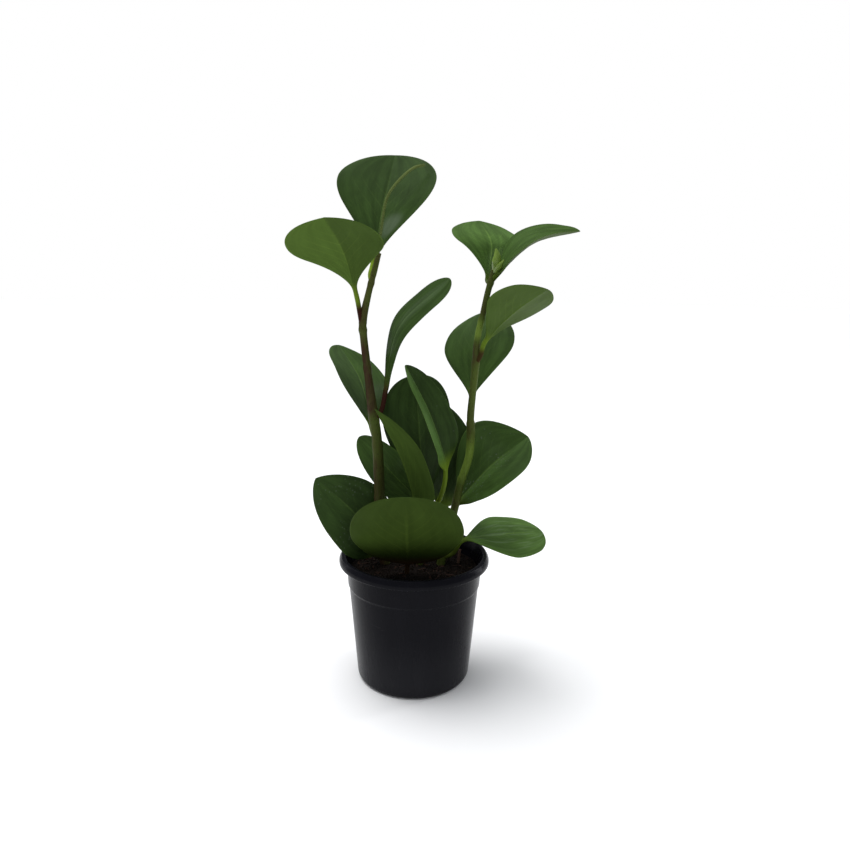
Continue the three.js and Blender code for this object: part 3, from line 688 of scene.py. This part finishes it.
def grow(name, tree, surface, **inputs):
    """The plain mesh that a node tree makes from a surface or a path."""
    holder = new_object(name, surface.data)
    modifier = holder.modifiers.new(name, "NODES")
    modifier.node_group = tree
    sockets = {item.name: item.identifier for item in tree.interface.items_tree if item.in_out == "INPUT"}
    for label, value in inputs.items():
        modifier[sockets[label.replace("_", " ")]] = value
    mesh = plain_mesh(holder)
    bpy.data.objects.remove(holder)
    mesh.name = name
    return new_object(name, mesh)


# Finishes

class Finish:
    """A material and short ways to add and join its nodes."""

    def __init__(self, name, **sockets):
        self.material = bpy.data.materials.new(name)
        self.material.use_nodes = True
        self.tree = self.material.node_tree
        self.shader = self.tree.nodes["Principled BSDF"]
        for label, value in sockets.items():
            self.shader.inputs[label.replace("_", " ")].default_value = value
        self.place = self.result("Object", "ShaderNodeTexCoord", {})

    def feed(self, socket, value):
        """Links a node's result to a socket, or sets the socket to a number, a vector or a colour."""
        if isinstance(value, bpy.types.NodeSocket):
            self.tree.links.new(value, socket)
        elif socket.type == "RGBA":
            socket.default_value = (*value, 1.0)
        else:
            socket.default_value = value

    def result(self, output, kind, values, **settings):
        """The result of a new node, with values fed to its sockets."""
        node = add_node(self.tree, kind, **settings)
        for socket, value in values.items():
            self.feed(node.inputs[socket], value)
        return node.outputs[output]

    def height(self):
        """Height above the surface that the object stands on, in metres."""
        return self.result("Z", "ShaderNodeSeparateXYZ", {"Vector": self.place})

    def value(self, name):
        """The piece's own attribute of that name."""
        return self.result("Fac", "ShaderNodeAttribute", {}, attribute_name=name)

    def math(self, operation, first, second=0.0, clamp=False):
        return self.result("Value", "ShaderNodeMath", {0: first, 1: second}, operation=operation,
                           use_clamp=clamp)

    def times(self, first, *others):
        """The product of all the values."""
        for other in others:
            first = self.math("MULTIPLY", first, other)
        return first

    def mix(self, share, first, second, blend="MIX"):
        return self.result(2, "ShaderNodeMix", {0: share, 6: first, 7: second}, data_type="RGBA",
                           blend_type=blend)

    def rise(self, value, low, high, start=0.0, end=1.0):
        """A smooth step from start to end as value goes from low to high."""
        values = {"Value": value, "From Min": low, "From Max": high, "To Min": start, "To Max": end}
        return self.result("Result", "ShaderNodeMapRange", values, interpolation_type="SMOOTHSTEP")

    def vector(self, x, y, z):
        return self.result("Vector", "ShaderNodeCombineXYZ", {0: x, 1: y, 2: z})

    def stretch(self, vector, scale):
        return self.result("Vector", "ShaderNodeMapping", {"Vector": vector, "Scale": scale})

    def noise(self, vector, scale, detail=3.0, roughness=0.5):
        values = {"Vector": vector, "Scale": scale, "Detail": detail, "Roughness": roughness}
        return self.result("Fac", "ShaderNodeTexNoise", values)

    def cells(self, vector, scale):
        """Distance from the middles of scattered cells."""
        return self.result("Distance", "ShaderNodeTexVoronoi", {"Vector": vector, "Scale": scale})

    def bump(self, height, distance, strength=1.0):
        values = {"Strength": strength, "Distance": distance, "Height": height}
        self.feed(self.shader.inputs["Normal"], self.result("Normal", "ShaderNodeBump", values))

    def colour(self, value):
        self.feed(self.shader.inputs["Base Color"], value)

    def roughness(self, value):
        self.feed(self.shader.inputs["Roughness"], value)


def leaf_finish(name, shine):
    """Waxy blade: dark and glossy above, olive and duller below, with a pale midrib and soft veins."""
    f = Finish(name, Specular_IOR_Level=shine)
    across, along = f.value("across"), f.value("along")
    under, young = f.value("under"), f.value("young")
    own = f.value("own")
    edge = f.math("ABSOLUTE", across)
    own_place = f.vector(f.math("ADD", f.times(across, 3.5), own), f.times(along, 1.1), own)

    # Blade colour above and below
    top = f.mix(young, (0.0205, 0.0395, 0.0098), (0.082, 0.158, 0.034))
    below = f.mix(young, (0.030, 0.052, 0.0085), (0.081, 0.142, 0.026))
    blade = f.mix(under, top, below)
    fan = f.noise(own_place, 1.6, 4, 0.6)
    cloud = f.noise(f.place, 45, 4, 0.6)
    tone = f.times(f.rise(fan, 0.3, 0.7, 0.82, 1.22), f.rise(cloud, 0.3, 0.75, 1.12, 0.82))
    tone = f.mix(f.times(under, 0.6), tone, (1.0, 1.0, 1.0))
    blade = f.mix(1.0, blade, tone, "MULTIPLY")
    # Painted light and shade: the blade's halves and its foot made lighter or darker
    blade = f.mix(1.0, blade, f.value("painted_light_gain"), "MULTIPLY")

    # Veins
    bent = f.times(f.math("POWER", edge, VEIN_BEND), VEIN_SWEEP)
    phase = f.times(f.math("SUBTRACT", along, bent), VEINS)
    line = f.times(f.math("ABSOLUTE", f.math("SUBTRACT", f.math("FRACT", phase), 0.5)), 2.0)
    fade = f.times(f.rise(along, 1.0, 0.6), f.rise(edge, 0.95, 0.4))
    veins = f.times(f.rise(line, 0.82, 1.0), fade)
    blade = f.mix(f.times(veins, 0.3), blade, (1.8, 1.6, 1.6), "MULTIPLY")
    keel = f.times(f.rise(edge, 0.04, 0.008), f.rise(along, 1.0, 0.4))
    keel_gain = f.mix(under, (2.1, 1.9, 1.9), (1.4, 1.35, 1.3))
    blade = f.mix(f.times(keel, 0.8), blade, keel_gain, "MULTIPLY")
    # Painted highlight: the blade's margin lightened as if it caught the light
    blade = f.mix(f.rise(edge, 0.965, 1.0, 0, 0.6), blade, (1.8, 1.7, 1.6), "MULTIPLY")

    # Pale patch of painted sheen and water spots above, and streaks
    is_upper = f.rise(under, 0.4, 0.1)
    painted_sheen_share = f.times(f.value("waxy"), f.rise(fan, 0.2, 0.8, 0.6, 1), is_upper)
    blade = f.mix(painted_sheen_share, blade, (0.1, 0.14, 0.08))
    dots = f.cells(f.place, 420)
    patch = f.rise(f.noise(f.place, 60, 2), 0.52, 0.62)
    spots = f.times(f.rise(dots, 0.32, 0.15), patch, f.value("specks"), is_upper)
    blade = f.mix(f.times(spots, 0.3), blade, (0.2, 0.23, 0.2))
    smear = f.rise(f.noise(own_place, 3.2, 3, 0.55), 0.5, 0.68)
    smear = f.times(smear, f.value("streaks"), f.rise(edge, 0.9, 0.5))
    blade = f.mix(f.times(smear, 0.5), blade, (0.14, 0.2, 0.115))

    # Petiole: green at the blade, redder towards the stem
    flesh = f.mix(f.value("fresh"), (0.025, 0.045, 0.009), (0.22, 0.34, 0.025))
    stalk = f.mix(f.value("blush"), flesh, (0.035, 0.012, 0.008))
    f.colour(f.mix(f.rise(along, 0.02, 0.2), stalk, blade))

    # Gloss and relief
    gloss = f.mix(under, (0.34, 0.34, 0.34), (0.5, 0.5, 0.5))
    f.roughness(f.math("ADD", gloss, f.rise(cloud, 0.3, 0.8, -0.04, 0.1)))
    pores = f.noise(f.place, 900, 2)
    height = f.math("ADD", f.times(pores, 0.25), f.times(cloud, 0.6))
    height = f.math("SUBTRACT", height, f.times(veins, 0.35))
    f.bump(height, 0.00025, 0.35)
    return f.material


def stem_finish():
    """Fleshy stem: green, flushed red-brown by height and on one side, with fine darker flecks."""
    f = Finish("Peperomia stem", Specular_IOR_Level=0.04)
    lengthwise = f.stretch(f.place, (1, 1, 0.2))
    streak = f.noise(lengthwise, 380, 4, 0.65)
    patch = f.noise(f.stretch(f.place, (1, 1, 0.5)), 160, 4, 0.6)
    redness = f.value("redness")
    flush = f.math("ADD", redness, f.times(f.value("leftward"), 0.16))
    flush = f.math("ADD", flush, f.times(f.math("SUBTRACT", patch, 0.5), 1.3), clamp=True)
    flush = f.math("ADD", flush, f.times(f.math("SUBTRACT", streak, 0.5), 0.7), clamp=True)
    green = f.mix(patch, (0.05, 0.078, 0.014), (0.088, 0.118, 0.024))
    fresh = f.mix(patch, (0.11, 0.175, 0.028), (0.17, 0.25, 0.04))
    green = f.mix(f.rise(redness, 0.1, -0.8), green, fresh)
    brown = f.mix(streak, (0.026, 0.013, 0.008), (0.058, 0.034, 0.018))
    skin_colour = f.mix(flush, green, brown)
    flecks = f.rise(f.cells(f.stretch(f.place, (1, 1, 0.55)), 700), 0.28, 0.12)
    f.colour(f.mix(f.times(flecks, 0.5), skin_colour, (0.018, 0.007, 0.005)))
    f.roughness(f.rise(patch, 0.3, 0.7, 0.36, 0.52))
    f.bump(f.math("ADD", streak, f.times(flecks, 0.5)), 0.0004, 0.5)
    return f.material


def spike_finish():
    """Yellow-green florets with a fine grain."""
    f = Finish("Flower spike", Roughness=0.6, Specular_IOR_Level=0.3)
    grain = f.noise(f.place, 1500, 3)
    f.colour(f.mix(grain, (0.07, 0.11, 0.02), (0.16, 0.2, 0.05)))
    f.bump(grain, 0.0002, 0.5)
    return f.material


def young_finish():
    """The tender bud: bright yellow-green with paler streaks."""
    f = Finish("Young growth", Roughness=0.4, Specular_IOR_Level=0.3)
    streak = f.noise(f.stretch(f.place, (1, 1, 0.25)), 700, 3, 0.6)
    f.colour(f.mix(streak, (0.08, 0.15, 0.016), (0.2, 0.29, 0.05)))
    f.bump(streak, 0.0002, 0.4)
    return f.material


def dry_finish():
    """The bare old stalk: dry, reddish and wrinkled."""
    f = Finish("Old stalk", Roughness=0.75)
    wrinkle = f.noise(f.stretch(f.place, (1, 1, 0.15)), 900, 4, 0.7)
    f.colour(f.mix(wrinkle, (0.03, 0.013, 0.009), (0.13, 0.065, 0.04)))
    f.bump(wrinkle, 0.0005, 0.8)
    return f.material


def pot_finish():
    """Black satin plastic with a fine moulded grain, faint scuffs and a painted floor reflection that
    lightens it low down.
    """
    f = Finish("Black nursery plastic", Specular_IOR_Level=0.05)
    grain = f.noise(f.place, 1400, 2)
    flow = f.noise(f.stretch(f.place, (1, 1, 0.12)), 90, 5, 0.6)
    scuff = f.rise(f.noise(f.stretch(f.place, (1, 1, 7)), 55, 6, 0.7), 0.62, 0.75)
    black = f.mix(flow, (0.004, 0.004, 0.0056), (0.007, 0.007, 0.0096))
    # Painted reflection: the wall made lighter towards the bottom, standing in for the pale floor's
    # reflection
    painted_floor_reflection = f.times(f.rise(f.height(), 0.055, 0.0), f.rise(flow, 0.2, 0.8, 0.8, 1))
    black = f.mix(painted_floor_reflection, black, (0.018, 0.018, 0.021))
    f.colour(f.mix(f.times(scuff, 0.35), black, (0.02, 0.02, 0.022)))
    sheen = f.rise(flow, 0.3, 0.7, 0.2, 0.3)
    f.roughness(f.math("ADD", sheen, f.times(scuff, 0.12)))
    f.bump(f.math("ADD", grain, f.times(flow, 1.5)), 0.00012, 0.5)
    return f.material


def soil_finish():
    """Moist dark peat with lighter crumbs."""
    f = Finish("Peaty soil", Roughness=0.92, Specular_IOR_Level=0.1)
    crumb = f.noise(f.place, 420, 6, 0.7)
    lump = f.noise(f.place, 120, 3)
    dark = f.mix(crumb, (0.003, 0.0024, 0.0021), (0.016, 0.012, 0.01))
    f.colour(f.mix(f.rise(lump, 0.4, 0.7, 0, 0.6), dark, (0.008, 0.005, 0.0035)))
    f.bump(f.math("ADD", crumb, lump), 0.0012, 1.0)
    return f.material


def bark_finish():
    """Brown and reddish bits of bark in the soil."""
    f = Finish("Bark bits", Roughness=0.85, Specular_IOR_Level=0.2)
    tone = f.noise(f.place, 130, 2)
    grain = f.noise(f.stretch(f.place, (1, 6, 1)), 700, 4)
    shade = f.mix(f.rise(tone, 0.35, 0.65), (0.01, 0.006, 0.0045), (0.04, 0.019, 0.012))
    f.colour(f.mix(f.times(grain, 0.5), shade, (0.014, 0.009, 0.0065)))
    f.bump(grain, 0.0003, 0.8)
    return f.material


def crumb_finish():
    """Small crumbs of peat."""
    f = Finish("Peat crumbs", Roughness=0.95, Specular_IOR_Level=0.1)
    tone = f.noise(f.place, 300, 4)
    f.colour(f.mix(tone, (0.003, 0.0021, 0.0017), (0.016, 0.011, 0.0075)))
    f.bump(f.noise(f.place, 1500, 3), 0.0004, 1.0)
    return f.material


def floor_finish():
    """Plain pale floor."""
    f = Finish("Pale floor", Roughness=0.7, Specular_IOR_Level=0.2)
    cloud = f.noise(f.place, 3, 3)
    f.colour(f.mix(cloud, (0.84, 0.84, 0.84), (0.87, 0.87, 0.87)))
    return f.material


# Camera, floor and lights. The camera's place is in millimetres, the lights' places and sizes in metres

CAMERA_PLACE = (6.8, -490, 292)
CAMERA_PITCH = 11.7
CAMERA_ROLL = 0.7
CAMERA_FOCAL_PIXELS = 704
IMAGE_PIXELS = 850
SENSOR = 36
FLOOR_RADIUS = 9
LIGHT_COLOUR = (0.94, 0.95, 1.0)
LIGHTS_AIM = (0, 0, 0.18)
SOFTBOXES = {
    "top light": dict(place=(-0.25, 0.1, 1.3), size=(0.9, 0.9), power=4),
    "right strip": dict(place=(1.15, 0.5, 0.5), size=(0.14, 1.2), power=4.3),
    "left strip": dict(place=(-1.1, 0.65, 0.5), size=(0.2, 1.2), power=1),
}
HIGH_LIGHT_WAY = (0.25, -0.15, -1)
HIGH_LIGHT_STRENGTH = 2.6
HIGH_LIGHT_SPREAD = 50

# The surround as a light, in reflections and where the camera sees it: colour and strength
SURROUND = [((0.95, 0.97, 1.0), 0.5), ((0.9, 0.94, 1.0), 0.25), ((1.0, 1.0, 1.0), 1)]


def set_camera():
    """A camera at the photograph's viewing angle."""
    pitch, roll = math.radians(CAMERA_PITCH), math.radians(CAMERA_ROLL)
    forward = Vector((0, math.cos(pitch), -math.sin(pitch)))
    level_up = Vector((0, math.sin(pitch), math.cos(pitch)))
    level_right = Vector((1, 0, 0))
    right = level_right * math.cos(roll) + level_up * math.sin(roll)
    up = level_up * math.cos(roll) - level_right * math.sin(roll)
    data = bpy.data.cameras.new("camera")
    data.sensor_width = SENSOR
    data.lens = CAMERA_FOCAL_PIXELS / IMAGE_PIXELS * SENSOR
    data.clip_start = 0.01
    camera = new_object("camera", data)
    turn = Matrix((right, up, -forward)).transposed().to_4x4()
    camera.matrix_world = Matrix.Translation(Vector(CAMERA_PLACE) * MM) @ turn
    bpy.context.scene.camera = camera


def softbox(name, place, size, power):
    """A soft rectangular light, in metres and watts."""
    data = bpy.data.lights.new(name, "AREA")
    data.shape = "RECTANGLE"
    data.size, data.size_y = size
    data.energy = power
    data.color = LIGHT_COLOUR
    light = new_object(name, data)
    light.location = place
    light.rotation_euler = (Vector(LIGHTS_AIM) - Vector(place)).to_track_quat("-Z", "Y").to_euler()


def set_stage():
    """The pale floor, an even white surround and soft lights."""
    bpy.ops.mesh.primitive_circle_add(vertices=96, radius=FLOOR_RADIUS, fill_type="NGON")
    floor = bpy.context.object
    floor.name = "floor"
    floor.data.materials.append(floor_finish())
    set_surround()
    sun = bpy.data.lights.new("high soft light", "SUN")
    sun.energy = HIGH_LIGHT_STRENGTH
    sun.angle = math.radians(HIGH_LIGHT_SPREAD)
    high = new_object("high soft light", sun)
    high.rotation_euler = Vector(HIGH_LIGHT_WAY).to_track_quat("-Z", "Y").to_euler()
    high.visible_glossy = False
    for name, values in SOFTBOXES.items():
        softbox(name, **values)


def set_surround():
    """An even surround: soft as a light, dimmer in reflections, and white where the camera sees it."""
    world = bpy.data.worlds.new("soft surround")
    world.use_nodes = True
    tree = world.node_tree
    tree.nodes.remove(tree.nodes["Background"])
    shades = []
    for colour, strength in SURROUND:
        shade = add_node(tree, "ShaderNodeBackground")
        shade.inputs["Color"].default_value = (*colour, 1.0)
        shade.inputs["Strength"].default_value = strength
        shades.append(shade.outputs["Background"])
    soft, dim, white = shades
    rays = add_node(tree, "ShaderNodeLightPath").outputs
    lit = add_node(tree, "ShaderNodeMixShader", {0: rays["Is Glossy Ray"], 1: soft, 2: dim})
    seen = add_node(tree, "ShaderNodeMixShader", {
        0: rays["Is Camera Ray"], 1: lit.outputs["Shader"], 2: white})
    tree.links.new(seen.outputs["Shader"], tree.nodes["World Output"].inputs["Surface"])
    bpy.context.scene.world = world
    bpy.context.scene.view_settings.view_transform = "Standard"


# Making and placing the pieces

def place_piece(piece, finish, slot, *nodes):
    """Gives a piece its finish and body, and lets it stand for its nodes. slot is not used."""
    if finish is not None:
        piece.data.materials.clear()
        piece.data.materials.append(finish)
    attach(piece, "root")
    if nodes:
        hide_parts(*nodes)


def dress_stems():
    """The three stems, each with its swollen rings."""
    finish = stem_finish()
    for name, points in STEMS.items():
        stem = make_stalk(name + "_flesh", points, STEM_SIDES, STEM_STEPS, STEM_RINGS[name],
                          ridges=FURROW_DEPTH, redness=REDNESS[name])
        place_piece(stem, finish, "stem", name)


def dress_spike():
    """The flower spike: a thin axis closely set with tiny florets."""
    finish = spike_finish()
    axis = [(x, y, z, radius - SPIKE_AXIS_INSET) for x, y, z, radius in FLOWER_SPIKE]
    core = make_stalk("spike_axis", axis, sides=10, steps_per_span=8)
    place_piece(core, finish, "spike", "flower_spike")
    points, _ = curve([p[:3] for p in FLOWER_SPIKE], np.linspace(SPIKE_BARE_SHARE, 1, SPIKE_PATH_POINTS))
    path = bpy.data.meshes.new("spike path")
    path.from_pydata((points * MM).tolist(), [(i, i + 1) for i in range(len(points) - 1)], [])
    route = bpy.data.objects.new("spike path", path)
    floret = lumpy_bit("floret", FLORET_SIZE, roughness=0.12, seed=SEED)
    florets = grow("spike_florets", spiral_tree(), route, Bit=floret, Count=FLORETS, Turn=FLORET_TURN,
                   Distance=FLORET_DISTANCE * MM, Finish=finish)
    place_piece(florets, None, "spike")
    bpy.data.objects.remove(floret)
    bpy.data.objects.remove(route)


def dress_soil():
    """The soil and the crumbs, bark bits and fibres strewn over it."""
    soil = make_soil()
    place_piece(soil, soil_finish(), "soil", "soil")
    rings = soil_rings(STREWN_RADIUS, STREWN_INNER_RING, STREWN_RINGS, STREWN_SIDES)
    mesh = bpy.data.meshes.new("soil top")
    mesh.from_pydata((rings.reshape(-1, 3) * MM).tolist(), [], tube_faces(STREWN_RINGS, STREWN_SIDES))
    top = bpy.data.objects.new("soil top", mesh)
    tree = scatter_tree()
    bits = {
        "peat_crumbs": (lumpy_bit("crumb", CRUMB_SIZE, roughness=0.3, seed=SEED + 1), crumb_finish()),
        "bark_bits": (lumpy_bit("chip", CHIP_SIZE, roughness=0.25, seed=SEED + 2), bark_finish()),
        "root_fibres": (fibre_bit("fibre", FIBRE_LENGTH, FIBRE_THICKNESS), dry_finish()),
    }
    for offset, (name, (bit, finish)) in enumerate(bits.items()):
        spread = STREWN_BITS[name]
        strewn = grow(name, tree, top, Bit=bit, Bits_per_square_metre=float(spread["count"]),
                      Smallest=spread["smallest"], Largest=spread["largest"], Lift=spread["lift"] * MM,
                      Seed=SEED + offset, Finish=finish)
        place_piece(strewn, None, "soil")
        bpy.data.objects.remove(bit)
    bpy.data.objects.remove(top)


def dress_leaves():
    """The leaves, each with a glossier upper side and a duller underside."""
    glossy = leaf_finish("Peperomia leaf above", UPPER_SHINE)
    dull = leaf_finish("Peperomia leaf below", UNDER_SHINE)
    for name, values in LEAVES.items():
        shape = dict(values)
        coats = [dull if shape.pop("matt", False) else glossy, dull]
        leaf = make_leaf(name, **shape)
        place_piece(leaf, None, "leaf", name)
        for coat in coats:
            leaf.data.materials.append(coat)
        columns = np.arange(len(leaf.data.polygons)) % (2 * LEAF_COLUMNS)
        leaf.data.polygons.foreach_set("material_index", (columns >= LEAF_COLUMNS).astype(np.int32))


def dress_bud():
    """The growing tip and the small young leaf that parts from it."""
    finish = young_finish()
    bud = make_stalk("bud", GROWING_TIP, sides=20, steps_per_span=8)
    place_piece(bud, finish, "young", "growing_tip")
    scale = make_stalk("bud_scale", YOUNG_SCALE, sides=16, steps_per_span=8)
    place_piece(scale, finish, "young")


def dress_stalk():
    """The bare old stalk."""
    stalk = make_stalk("bare_stalk", OLD_STALK, sides=14, steps_per_span=8, ridges=0.08)
    place_piece(stalk, dry_finish(), "stem", "old_stalk")


set_camera()
set_stage()
place_piece(make_pot(), pot_finish(), "pot", "pot")
dress_soil()
dress_stems()
dress_spike()
dress_bud()
dress_stalk()
dress_leaves()
